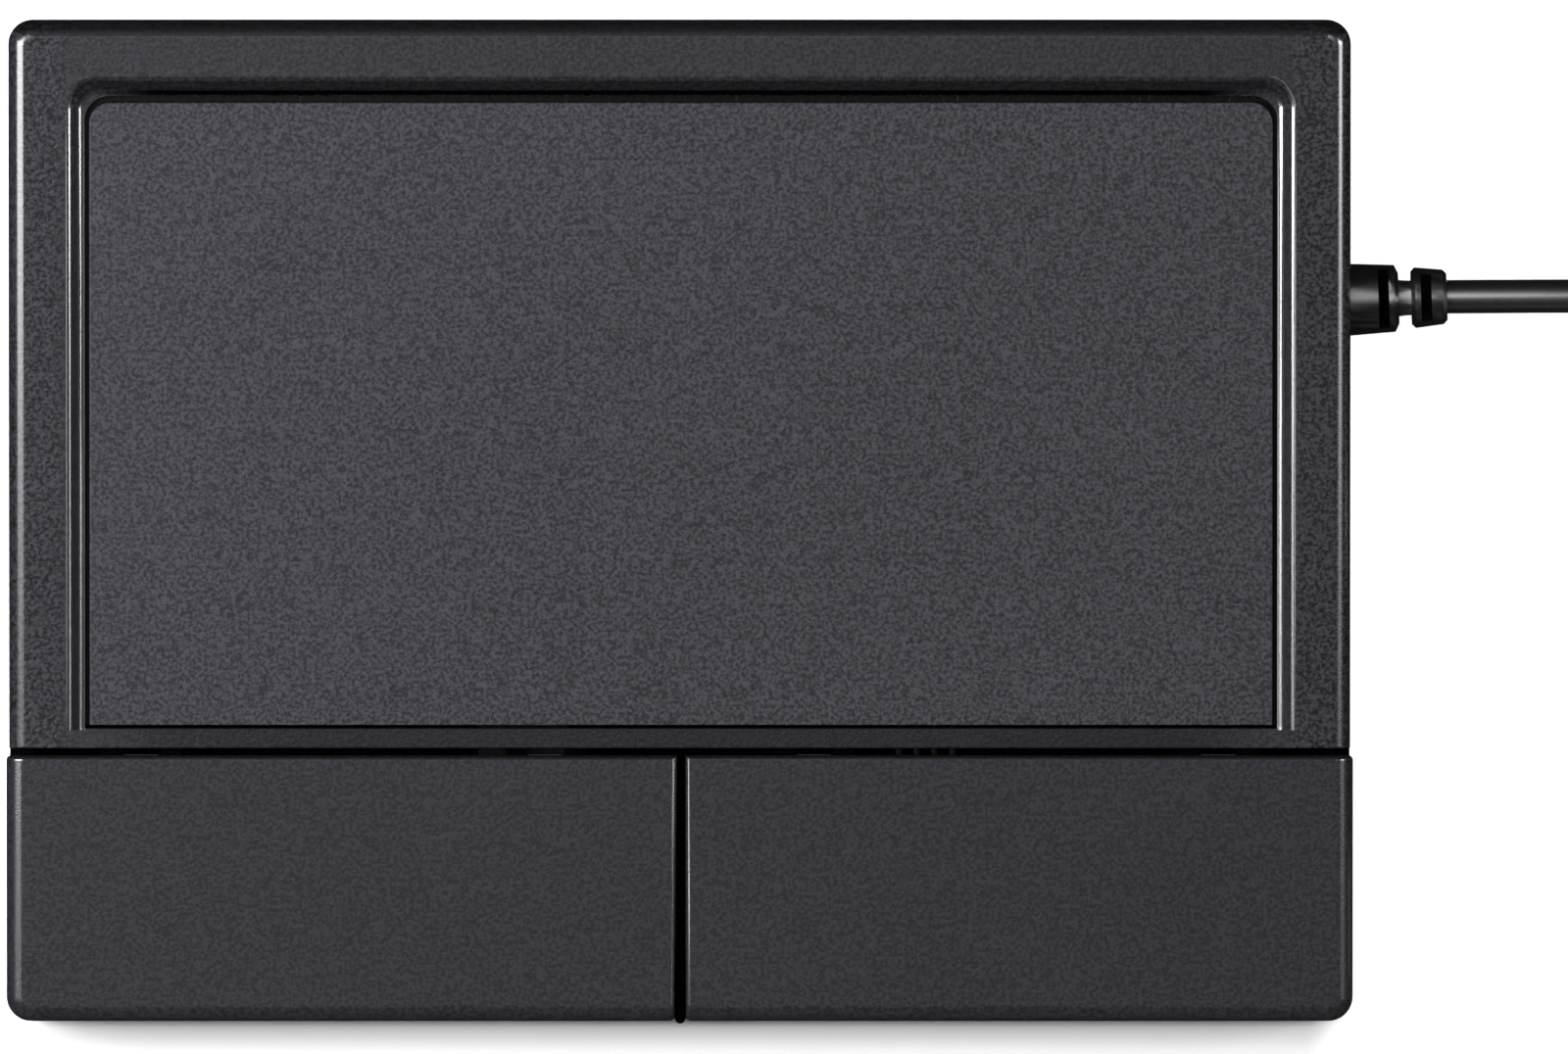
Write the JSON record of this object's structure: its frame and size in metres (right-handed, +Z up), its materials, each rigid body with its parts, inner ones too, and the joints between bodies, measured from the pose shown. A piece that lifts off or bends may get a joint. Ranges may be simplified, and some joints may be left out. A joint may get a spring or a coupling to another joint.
{
  "type": "wired trackpad",
  "caption": "Wedge-shaped desktop trackpad with a recessed touch pad, two wide buttons along its front edge and a coiled cord with a plug.",
  "frame": {"origin": "middle of the body's plan, without cord and boot, on the desk under the rubber feet", "axes": "+X to the user's right, along the longest side and the way the cord leaves; +Y away from the user, to the high back wall; +Z up"},
  "size_m": [0.205, 0.0899, 0.0189],
  "materials": {
    "case_plastic": "fine spark-eroded grain, charcoal",
    "cover_plastic": "fine spark-eroded grain, charcoal",
    "button_plastic": "fine spark-eroded grain, charcoal",
    "pad_surface": "sandy hard coat, dark grey",
    "foot_rubber": "matte black",
    "adhesive_film": "thin white foam tape",
    "board_laminate": "green solder mask",
    "chip_resin": "black moulded resin",
    "chip_ceramic": "tan ceramic with tinned ends",
    "can_steel": "plated can",
    "connector_plastic": "ivory nylon",
    "ribbon_film": "white flat cable",
    "switch_plastic": "black nylon",
    "switch_steel": "stamped sheet",
    "plunger_plastic": "off-white acetal",
    "cord_sheath": "satin black flexible PVC",
    "lead_sheath": "coloured thin insulation",
    "screw_steel": "zinc-plated",
    "plug_steel": "nickel-plated sheet",
    "tongue_plastic": "white moulded carrier",
    "contact_gold": "gold-plated strips"
  },
  "bodies": {
    "housing": {"bottom_case": "case_plastic", "top_cover": "cover_plastic", "rubber_feet": "foot_rubber", "touch_overlay": "pad_surface", "touch_adhesive": "adhesive_film", "touch_board": "board_laminate", "touch_chip": "chip_resin", "touch_parts": "chip_ceramic", "main_board": "board_laminate", "main_chip": "chip_resin", "crystal": "can_steel", "main_parts": "chip_ceramic", "board_connectors": "connector_plastic", "ribbon_cable": "ribbon_film", "switch_bases": "switch_plastic", "switch_covers": "switch_steel", "switch_domes": "switch_steel", "switch_terminals": "switch_steel", "wire_header": "connector_plastic", "wire_plug": "connector_plastic", "lead_wires": "lead_sheath", "inner_cord": "cord_sheath", "strain_relief": "cord_sheath", "case_screws": "screw_steel", "board_screws": "screw_steel", "cord_run": "cord_sheath", "cord_coil": "cord_sheath", "cord_tail": "cord_sheath", "plug_body": "cord_sheath", "plug_shell": "plug_steel", "plug_tongue": "tongue_plastic", "plug_contacts": "contact_gold"},
    "left_button": {"left_button": "button_plastic"},
    "right_button": {"right_button": "button_plastic"},
    "left_plunger": {"left_switch_plunger": "plunger_plastic"},
    "right_plunger": {"right_switch_plunger": "plunger_plastic"}
  },
  "joints": [
    {"name": "left_button_hinge", "type": "hinge", "parent": "housing", "child": "left_button", "pos_m": [0, -0.0223, 0.0083], "axis": [1, 0, 0], "range_deg": [0, 1.2], "stiffness_Nm_per_rad": 0.3, "springref_deg": -0.57},
    {"name": "right_button_hinge", "type": "hinge", "parent": "housing", "child": "right_button", "pos_m": [0, -0.0223, 0.0083], "axis": [1, 0, 0], "range_deg": [0, 1.2], "stiffness_Nm_per_rad": 0.3, "springref_deg": -0.57},
    {"name": "left_plunger_slide", "type": "slide", "parent": "housing", "child": "left_plunger", "axis": [0, 0, -1], "range_m": [0, 0.00025]},
    {"name": "right_plunger_slide", "type": "slide", "parent": "housing", "child": "right_plunger", "axis": [0, 0, -1], "range_m": [0, 0.00025]}
  ],
  "couplings": [
    {"joint": "left_plunger_slide", "follows": "left_button_hinge", "m_per_rad": 0.0107},
    {"joint": "right_plunger_slide", "follows": "right_button_hinge", "m_per_rad": 0.0107}
  ]
}
